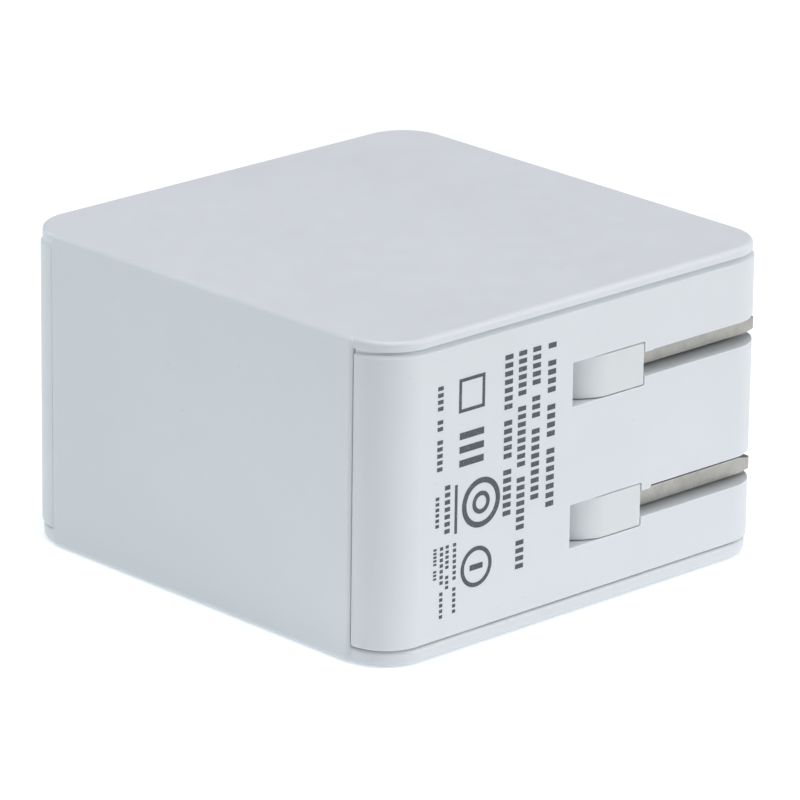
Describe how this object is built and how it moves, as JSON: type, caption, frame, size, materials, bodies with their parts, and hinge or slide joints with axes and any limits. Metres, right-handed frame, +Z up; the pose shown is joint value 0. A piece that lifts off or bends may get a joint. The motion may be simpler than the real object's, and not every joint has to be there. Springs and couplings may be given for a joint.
{
  "type": "usb wall charger",
  "caption": "Compact square wall charger with folding flat blades in its label face, a wrap-around cover and upright USB-A ports on the opposite face.",
  "frame": {"origin": "centre of the base plate's underside, on the surface that the charger lies on", "axes": "+Z up through the two broad plates; +Y out of the label and prong face; -Y out of the port face; +X out of the closed side of the wrap cover; folded blades point to -X"},
  "size_m": [0.046, 0.046, 0.0285],
  "materials": {
    "cover_plastic": "white, semi-gloss, moulded",
    "shell_plastic": "white, satin, moulded",
    "hinge_plastic": "warm white, satin, moulded",
    "blade_nickel": "nickel plated, sheared edges",
    "port_steel": "bright folded sheet",
    "screw_steel": "zinc plated",
    "contact_brass": "bright",
    "tongue_plastic": "white insulator",
    "circuit_board": "green solder mask on glass epoxy",
    "black_plastic": "black moulding compound",
    "ferrite": "dark ground ferrite",
    "winding_tape": "yellow polyester tape",
    "can_sleeve_dark": "shrunk sleeve",
    "can_sleeve_green": "shrunk sleeve",
    "choke_sleeve": "shrunk sleeve over wire",
    "fuse_body": "coated",
    "capacitor_blue": "dipped epoxy",
    "polyester_film": "translucent film",
    "lead_brown": "insulated wire",
    "lead_blue": "insulated wire"
  },
  "bodies": {
    "housing": {"wrap_cover": "cover_plastic", "rear_shell": "shell_plastic", "front_shell": "shell_plastic", "bearing_cap": "hinge_plastic", "cap_screw_1": "screw_steel", "cap_screw_2": "screw_steel", "contact_spring_live": "contact_brass", "contact_spring_neutral": "contact_brass", "lead_live": "lead_brown", "lead_neutral": "lead_blue", "usb_shell_left": "port_steel", "usb_shell_right": "port_steel", "usb_tongue_left": "tongue_plastic", "usb_tongue_right": "tongue_plastic", "main_board": "circuit_board", "usb_board": "circuit_board", "transformer_core": "ferrite", "transformer_bobbin": "black_plastic", "transformer_winding": "winding_tape", "bulk_capacitor_1": "can_sleeve_dark", "bulk_capacitor_2": "can_sleeve_dark", "output_capacitor_1": "can_sleeve_green", "output_capacitor_2": "can_sleeve_green", "line_choke": "choke_sleeve", "fuse": "fuse_body", "safety_capacitor": "capacitor_blue", "optocoupler": "black_plastic", "bridge_rectifier": "black_plastic", "controller_chip": "black_plastic", "output_rectifier": "black_plastic", "insulation_sheet": "polyester_film", "usb_contact_left_1": "contact_brass", "usb_contact_left_2": "contact_brass", "usb_contact_left_3": "contact_brass", "usb_contact_left_4": "contact_brass", "usb_contact_right_1": "contact_brass", "usb_contact_right_2": "contact_brass", "usb_contact_right_3": "contact_brass", "usb_contact_right_4": "contact_brass"},
    "prongs": {"prong_carrier": "hinge_plastic", "prong_blade_upper": "blade_nickel", "prong_blade_lower": "blade_nickel"}
  },
  "joints": [
    {"name": "prong_fold", "type": "hinge", "parent": "housing", "child": "prongs", "pos_m": [-0.0031, 0.01885, 0.01425], "axis": [0, 0, -1], "range_deg": [0, 90]}
  ]
}
